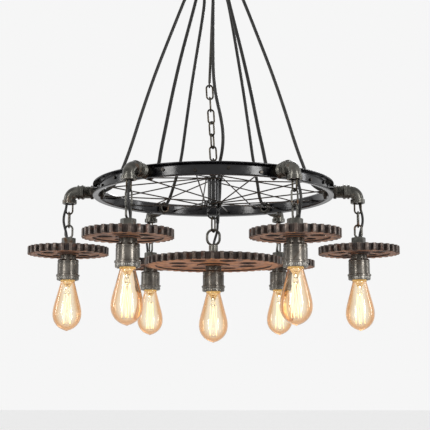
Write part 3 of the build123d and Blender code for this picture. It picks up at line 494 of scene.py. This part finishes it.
holder_pewter = metal_finish("holder_pewter", (0.066, 0.060, 0.052), (0.145, 0.132, 0.115), 40.0,
                             (0.24, 0.36), 0.88, relief=0.00005,
                             stain=(0.062, 0.040, 0.026), stain_from=0.61, edge=(0.20, 0.19, 0.17))
rib_bright = metal_finish("rib_bright", (0.16, 0.155, 0.14), (0.36, 0.35, 0.32), 60.0, (0.20, 0.32), 0.9,
                          relief=0.00003)


def mouth_of(number):
    """The middle of a lamp holder's mouth."""
    return Vector(below(number, CENTRE_MOUTH_DROP if number == CENTRE_LAMP else MOUTH_DROP))


def hung_copy(model, name, number, turn=0.0):
    """A copy of a piece modelled under the origin, with its own mesh, moved to a lamp's mouth."""
    made = bpy.data.objects.new(name, model.data.copy())
    made.data.name = name
    made.data.transform(Matrix.Translation(mouth_of(number)) @ Matrix.Rotation(turn, 4, "Z"))
    bpy.context.scene.collection.objects.link(made)
    return made


bpy.ops.object.select_all(action="DESELECT")
bpy.ops.mesh.primitive_cube_add(size=1.0, location=(RIB_RING_RADIUS, 0.0, RIB_RISE), scale=RIB_SIZE)
rib_model = bpy.context.active_object
bpy.ops.object.transform_apply(location=True, rotation=True, scale=True)
bpy.ops.object.mode_set(mode="EDIT")
bpy.ops.mesh.select_all(action="SELECT")
bpy.ops.mesh.bevel(offset=RIB_EDGE, segments=EDGE_SEGMENTS)
for _ in range(RIB_COUNT - 1):
    bpy.ops.mesh.duplicate()
    bpy.ops.transform.rotate(value=2 * math.pi / RIB_COUNT, orient_axis="Z", center_override=(0.0, 0.0, 0.0))
bpy.ops.object.mode_set(mode="OBJECT")
bpy.ops.object.shade_smooth_by_angle(angle=CAST_SMOOTH)
rib_model.data.materials.append(rib_bright)
for number in LAMP_NUMBERS:
    finish(holder_pewter, f"lamp_holder_{number}")
    made = hung_copy(rib_model, f"holder_ribs_{number}", number)
    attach(made, f"lamp_{number}")
bpy.data.objects.remove(rib_model)


# Bulbs: pear-shaped blown glass, tinted amber and drawn out to a pip, cemented into a brass screw cap. A
# glass stem carries hooks of thin wire, and the long filament runs up and down between them as a cage.
GLASS_WALL = 0.0009
GLASS_SIDES = 32
CAP_SIDES = 48
STEM_SIDES = 24
CEMENT_SIDES = 32
WIRE_SIDES = 8

# Smoothing angles in degrees
BLOWN_SMOOTH = 60.0
CAP_SMOOTH = 38.0

# Outlines are given as radius and height over the holder's mouth
GLASS_OUTLINE = [
    (0.0146, 0.0027),
    (0.0148, 0.0),
    (0.0153, -0.0050),
    (0.0172, -0.0110),
    (0.0196, -0.0200),
    (0.0238, -0.0360),
    (0.0293, -0.0545),
    (0.0323, -0.0720),
    (0.0300, -0.0870),
    (0.0222, -0.0990),
    (0.0120, -0.1060),
    (0.0048, -0.1084),
    (0.0022, -0.1092),
    (0.0, -0.1102),
]
CAP_OUTLINE = [
    (0.0050, 0.0325),
    (0.0052, 0.0308),
    (0.0105, 0.0285),
    (0.0125, 0.0268),
]
THREAD_TOP = 0.0262
THREAD_PITCH = 0.0036
THREAD_TURNS = 4
THREAD_ROOT = 0.0126
THREAD_CREST = 0.0131
SKIRT_OUTLINE = [
    (0.0132, 0.0095),
    (0.0155, 0.0086),
    (0.0160, 0.0078),
    (0.0160, -0.0028),
    (0.0156, -0.0034),
    (0.0150, -0.0036),
    (0.0149, -0.0010),
]
STEM_OUTLINE = [
    (0.0136, 0.0018),
    (0.0118, -0.0040),
    (0.0072, -0.0105),
    (0.0044, -0.0170),
    (0.0038, -0.0225),
    (0.0050, -0.0262),
    (0.0048, -0.0300),
    (0.0022, -0.0325),
    (0.0013, -0.0360),
    (0.0013, -0.0900),
    (0.0022, -0.0920),
    (0.0022, -0.0940),
    (0.0, -0.0950),
]
CEMENT_OUTLINE = [
    (0.0147, -0.0008),
    (0.0147, -0.0014),
    (0.0128, -0.0024),
    (0.0095, -0.0030),
    (0.0, -0.0032),
]
CAGE_HOOKS = 8
CAGE_TOP = (0.0062, -0.0300)
CAGE_BOTTOM = (0.0098, -0.0950)
STRAND_RADIUS = 0.00036
STRAND_STEPS = 6
STRAND_CURL = 0.0005
HOOK_RADIUS = 0.0011
HOOK_WIRE = 0.00022
HOOK_RISE = 0.0016
FILAMENT_GLOW = 2.4
CEMENT_PAINTED_GLOW = 0.30

# How much further each bulb is screwed round than the one before, in radians
BULB_TURN = 0.45


def glass_finish(name, tint, outline_tint_and_shade, density, absorbed, glow):
    """Glass painted darker and warmer towards its outline: painted shade for thicker glass and for dark
    surroundings reflected there.
    """
    material, tree, shader = new_finish(name)
    place = put(tree, "TexCoord").outputs["Object"]
    facing = put(tree, "LayerWeight", {"Blend": 0.5}).outputs["Facing"]
    # Painted shade: the base colour darkens and warms from the glass's middle to its outline.
    tree.links.new(between(tree, spread(tree, facing, 0.04, 0.42, 0.0, 1.0), tint, outline_tint_and_shade),
                   shader.inputs["Base Color"])
    shader.inputs["Transmission Weight"].default_value = 1.0
    shader.inputs["IOR"].default_value = 1.45
    # Painted glow: a faint warm emission in the glass stands in for the filament's light caught in it.
    shader.inputs["Emission Color"].default_value = (1.0, 0.80, 0.45, 1.0)
    shader.inputs["Emission Strength"].default_value = glow
    smear = cloudy(tree, place, 60.0, 3.0)
    tree.links.new(spread(tree, smear, 0.3, 0.7, 0.0, 0.03), shader.inputs["Roughness"])
    wave = put(tree, "Bump", {"Height": cloudy(tree, place, 45.0, 1.0), "Distance": 0.0003, "Strength": 0.35})
    tree.links.new(wave.outputs[0], shader.inputs["Normal"])
    depth = put(tree, "VolumeAbsorption", {"Color": (*absorbed, 1.0), "Density": density})
    tree.links.new(depth.outputs[0], tree.nodes["Material Output"].inputs["Volume"])
    return material


def round_piece(name, outline, sides, hollow=False):
    """A round piece drawn ring by ring about the Z axis; each ring is given as radius and height."""
    bpy.ops.object.select_all(action="DESELECT")
    radius, height = outline[0]
    bpy.ops.mesh.primitive_circle_add(vertices=sides, radius=radius, location=(0.0, 0.0, height),
                                      fill_type="NOTHING" if hollow else "NGON")
    made = bpy.context.active_object
    made.name = made.data.name = name
    bpy.ops.object.transform_apply(location=True, rotation=True, scale=True)
    bpy.ops.object.mode_set(mode="EDIT")
    bpy.ops.mesh.select_all(action="SELECT")
    for next_radius, next_height in outline[1:]:
        bpy.ops.mesh.extrude_region_move(TRANSFORM_OT_translate={"value": (0.0, 0.0, next_height - height)})
        if next_radius > 0.0:
            size = next_radius / radius
            bpy.ops.transform.resize(value=(size, size, 1.0), center_override=(0.0, 0.0, next_height))
        else:
            bpy.ops.mesh.merge(type="CENTER")
        radius, height = next_radius, next_height
    bpy.ops.mesh.select_all(action="SELECT")
    bpy.ops.mesh.normals_make_consistent(inside=False)
    bpy.ops.object.mode_set(mode="OBJECT")
    return made


def finished(made, modifiers, smooth_angle, material):
    """Applies a piece's modifiers (name, kind and settings) and gives it its smoothing and material."""
    bpy.context.view_layer.objects.active = made
    for modifier_name, kind, settings in modifiers:
        modifier = made.modifiers.new(modifier_name, kind)
        for key, value in settings.items():
            setattr(modifier, key, value)
        bpy.ops.object.modifier_apply(modifier=modifier_name)
    bpy.ops.object.shade_smooth_by_angle(angle=math.radians(smooth_angle))
    made.data.materials.append(material)
    return made


def thin_wire(points, radius):
    """A thin wire drawn from a small disc, point by point."""
    bpy.ops.object.select_all(action="DESELECT")
    heading = (points[-1] - points[0]).to_track_quat("Z", "Y").to_euler()
    bpy.ops.mesh.primitive_circle_add(vertices=WIRE_SIDES, radius=radius, fill_type="NGON",
                                      location=points[0], rotation=heading)
    bpy.ops.object.transform_apply(location=True, rotation=True, scale=True)
    made = bpy.context.active_object
    bpy.ops.object.mode_set(mode="EDIT")
    bpy.ops.mesh.select_all(action="SELECT")
    for before, after in zip(points, points[1:]):
        bpy.ops.mesh.extrude_region_move(TRANSFORM_OT_translate={"value": tuple(after - before)})
    bpy.ops.mesh.select_all(action="SELECT")
    bpy.ops.mesh.normals_make_consistent(inside=False)
    bpy.ops.object.mode_set(mode="OBJECT")
    return made


def joined(name, parts):
    """One piece made of several."""
    bpy.ops.object.select_all(action="DESELECT")
    for part in parts:
        part.select_set(True)
    bpy.context.view_layer.objects.active = parts[0]
    bpy.ops.object.join()
    parts[0].name = parts[0].data.name = name
    return parts[0]


# The second colour of each glass is the painted shade at its outline.
amber_glass = glass_finish("amber_glass", (0.99, 0.965, 0.88), (0.81, 0.52, 0.29), 60.0,
                           (1.0, 0.74, 0.32), 0.004)
# The stem glass takes the stronger painted glow.
stem_glass = glass_finish("stem_glass", (1.0, 0.98, 0.94), (0.90, 0.80, 0.62), 10.0,
                          (1.0, 0.80, 0.55), 0.04)
cap_brass = metal_finish("cap_brass", (0.62, 0.36, 0.11), (0.80, 0.52, 0.20), 140.0, (0.18, 0.30), 1.0,
                         relief=0.00002)
hook_steel = metal_finish("hook_steel", (0.35, 0.33, 0.30), (0.50, 0.47, 0.42), 300.0, (0.25, 0.35), 1.0,
                          relief=0.00001)

filament_glow, glow_tree, glow_shader = new_finish("filament_glow")
glow_place = put(glow_tree, "TexCoord").outputs["Object"]
hot_spots = spread(glow_tree, cloudy(glow_tree, glow_place, 220.0, 2.0), 0.35, 0.65, 0.0, 1.0)
glow_colour = between(glow_tree, hot_spots, (1.0, 0.70, 0.24), (1.0, 0.86, 0.42))
glow_tree.links.new(glow_colour, glow_shader.inputs["Emission Color"])
glow_shader.inputs["Base Color"].default_value = (0.8, 0.55, 0.2, 1.0)
glow_shader.inputs["Emission Strength"].default_value = FILAMENT_GLOW

glass_model = finished(round_piece("glass_model", GLASS_OUTLINE, GLASS_SIDES, hollow=True), [
    ("wall", "SOLIDIFY", {"thickness": GLASS_WALL, "offset": -1.0}),
    ("blowing", "SUBSURF", {"levels": 2, "render_levels": 2}),
], BLOWN_SMOOTH, amber_glass)
threads = []
for turn in range(THREAD_TURNS):
    crest = THREAD_TOP - THREAD_PITCH * turn
    threads += [
        (THREAD_ROOT, crest),
        (THREAD_CREST, crest - THREAD_PITCH / 4),
        (THREAD_CREST, crest - THREAD_PITCH / 2),
        (THREAD_ROOT, crest - THREAD_PITCH * 3 / 4),
    ]
cap_round = round_piece("cap_model", CAP_OUTLINE + threads + SKIRT_OUTLINE, CAP_SIDES)
cap_model = finished(cap_round, [], CAP_SMOOTH, cap_brass)
stem_model = finished(round_piece("stem_model", STEM_OUTLINE, STEM_SIDES), [
    ("drawing", "SUBSURF", {"levels": 1, "render_levels": 1}),
], BLOWN_SMOOTH, stem_glass)


def hook_place(index):
    """The place of one of the cage's hooks; they lie above and below in turn."""
    radius, height = CAGE_BOTTOM if index % 2 else CAGE_TOP
    turn = 2 * math.pi * index / CAGE_HOOKS
    return Vector((radius * math.cos(turn), radius * math.sin(turn), height))


strands = []
hooks = []
for index in range(CAGE_HOOKS):
    start, end = hook_place(index), hook_place(index + 1)
    points = []
    for step in range(STRAND_STEPS + 1):
        along = step / STRAND_STEPS
        outward = Vector((start.x + end.x, start.y + end.y, 0.0)).normalized()
        points.append(start.lerp(end, along) + outward * STRAND_CURL * math.sin(math.pi * along))
    strands.append(thin_wire(points, STRAND_RADIUS))
    rise = -HOOK_RISE if index % 2 else HOOK_RISE
    root = Vector((0.0, 0.0, start.z + rise))
    hooks.append(thin_wire([root, start + Vector((0.0, 0.0, rise / 2)), start], HOOK_WIRE))
    bpy.ops.object.select_all(action="DESELECT")
    bpy.ops.mesh.primitive_torus_add(major_radius=HOOK_RADIUS, minor_radius=HOOK_WIRE, major_segments=14,
                                     minor_segments=6, location=start,
                                     rotation=(math.pi / 2, 0.0, 2 * math.pi * index / CAGE_HOOKS))
    bpy.ops.object.transform_apply(location=True, rotation=True, scale=True)
    hooks.append(bpy.context.active_object)
filament_model = finished(joined("filament_model", strands), [], BLOWN_SMOOTH, filament_glow)
hook_model = finished(joined("hook_model", hooks), [], BLOWN_SMOOTH, hook_steel)

# Cream cement fills the cap round the foot of the stem; a painted glow on it stands in for the filament's
# light
cement, cement_tree, cement_shader = new_finish("cement")
cement_place = put(cement_tree, "TexCoord").outputs["Object"]
mottle = spread(cement_tree, cloudy(cement_tree, cement_place, 400.0, 3.0), 0.35, 0.65, 0.0, 1.0)
cement_colour = between(cement_tree, mottle, (0.80, 0.66, 0.42), (0.88, 0.78, 0.58))
cement_tree.links.new(cement_colour, cement_shader.inputs["Base Color"])
cement_shader.inputs["Roughness"].default_value = 0.7
cement_shader.inputs["Emission Color"].default_value = (1.0, 0.78, 0.45, 1.0)
cement_shader.inputs["Emission Strength"].default_value = CEMENT_PAINTED_GLOW
cement_round = round_piece("cement_model", CEMENT_OUTLINE, CEMENT_SIDES)
cement_model = finished(cement_round, [], BLOWN_SMOOTH, cement)

BULB_MODELS = {
    "bulb_cement": cement_model,
    "bulb_glass": glass_model,
    "bulb_cap": cap_model,
    "bulb_stem": stem_model,
    "filament": filament_model,
    "support_wires": hook_model,
}
for number in LAMP_NUMBERS:
    for piece, model in BULB_MODELS.items():
        made = hung_copy(model, f"{piece}_{number}", number, turn=BULB_TURN * number)
        if piece == "bulb_glass":
            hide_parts(f"bulb_{number}")
        if piece in ("bulb_glass", "bulb_stem"):
            made.visible_shadow = False
        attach(made, f"bulb_{number}")
for model in BULB_MODELS.values():
    bpy.data.objects.remove(model)


# Room: a plain pale floor far below, a pale surround, tall soft lamps in front and at both sides, and a
# square one behind. The surround is pale for the camera, in reflections and through the glass, and lights
# the chandelier more gently than that.
FLOOR_Z = -2.4
FLOOR_SIZE = 60.0
PALE = (0.922, 0.922, 0.922, 1.0)
FLOOR_LIFT = 0.40
SURROUND_LIGHT = 0.60


def seen_directly(tree):
    """A factor that is 1 where the camera looks, and where gloss and glass carry its look on."""
    path = put(tree, "LightPath").outputs
    either = put(tree, "Math", {0: path["Is Camera Ray"], 1: path["Is Glossy Ray"]}, operation="MAXIMUM")
    seen = {0: either.outputs[0], 1: path["Is Transmission Ray"]}
    return put(tree, "Math", seen, operation="MAXIMUM").outputs[0]


bpy.ops.object.select_all(action="DESELECT")
bpy.ops.mesh.primitive_plane_add(size=FLOOR_SIZE, location=(0.0, 0.0, FLOOR_Z))
floor = bpy.context.active_object
floor.name = "floor"
floor_paint, floor_tree, floor_shader = new_finish("floor_paint")
floor_shader.inputs["Base Color"].default_value = (0.80, 0.80, 0.80, 1.0)
floor_shader.inputs["Roughness"].default_value = 0.9
floor_shader.inputs["Specular IOR Level"].default_value = 0.1
floor_shader.inputs["Emission Color"].default_value = PALE
lifted = put(floor_tree, "Math", {0: seen_directly(floor_tree), 1: FLOOR_LIFT}, operation="MULTIPLY")
floor_tree.links.new(lifted.outputs[0], floor_shader.inputs["Emission Strength"])
floor.data.materials.append(floor_paint)

surround = bpy.data.worlds.new("surround")
surround.use_nodes = True
sky = surround.node_tree
backdrop = sky.nodes["Background"]
backdrop.inputs["Color"].default_value = PALE
sky_strength = spread(sky, seen_directly(sky), 0.0, 1.0, SURROUND_LIGHT, 1.0)
sky.links.new(sky_strength, backdrop.inputs["Strength"])
bpy.context.scene.world = surround

LAMP_AIM = Vector((0.0, 0.0, -0.62))

# Place, width and height, watts and colour
STUDIO_LAMPS = {
    "left_front_lamp": ((-1.55, -1.85, -0.12), (0.40, 1.3), 20.0, (1.0, 0.99, 0.97)),
    "right_front_lamp": ((1.55, -1.85, -0.12), (0.40, 1.3), 24.0, (1.0, 1.0, 1.0)),
    "left_lamp": ((-2.2, 0.1, -0.3), (0.30, 1.2), 9.0, (1.0, 1.0, 1.0)),
    "right_lamp": ((2.2, 0.1, -0.3), (0.30, 1.2), 9.0, (0.97, 0.98, 1.0)),
    "back_lamp": ((0.5, 2.3, 0.6), (0.8, 0.8), 16.0, (1.0, 1.0, 1.0)),
}
for name, (place, (width, height), power, colour) in STUDIO_LAMPS.items():
    heading = (LAMP_AIM - Vector(place)).to_track_quat("-Z", "Y").to_euler()
    bpy.ops.object.light_add(type="AREA", location=place, rotation=heading)
    lamp = bpy.context.active_object
    lamp.name = name
    lamp.data.shape = "RECTANGLE"
    lamp.data.size = width
    lamp.data.size_y = height
    lamp.data.energy = power
    lamp.data.color = colour
